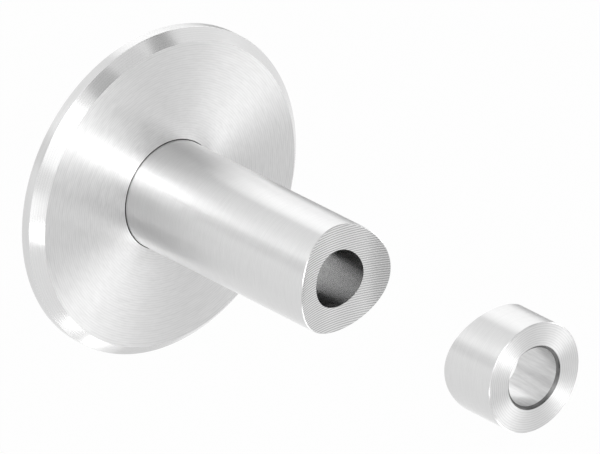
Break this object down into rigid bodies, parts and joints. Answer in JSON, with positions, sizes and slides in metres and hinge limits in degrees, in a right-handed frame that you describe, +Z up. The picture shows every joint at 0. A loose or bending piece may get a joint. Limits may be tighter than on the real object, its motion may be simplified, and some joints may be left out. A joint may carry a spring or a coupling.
{
  "type": "rail wall bracket",
  "caption": "Round stand-off wall bracket for a tube rail: a chamfered rosette, a stub with a hollowed end, and a loose hollowed collar for the rail's far side, drilled for a through bolt.",
  "frame": {"origin": "centre of the rosette's flat back, on the wall", "axes": "+Y into the wall along the bracket's axis, so that the stub stands out along -Y; +Z up, along the rail that the saddles take"},
  "size_m": [0.06, 0.1012, 0.06],
  "materials": {
    "satin_steel": "bright stainless steel, satin, with fine turning lines round the axis"
  },
  "bodies": {
    "root": {"rosette": "satin_steel", "stub": "satin_steel", "collar": "satin_steel"}
  },
  "joints": []
}
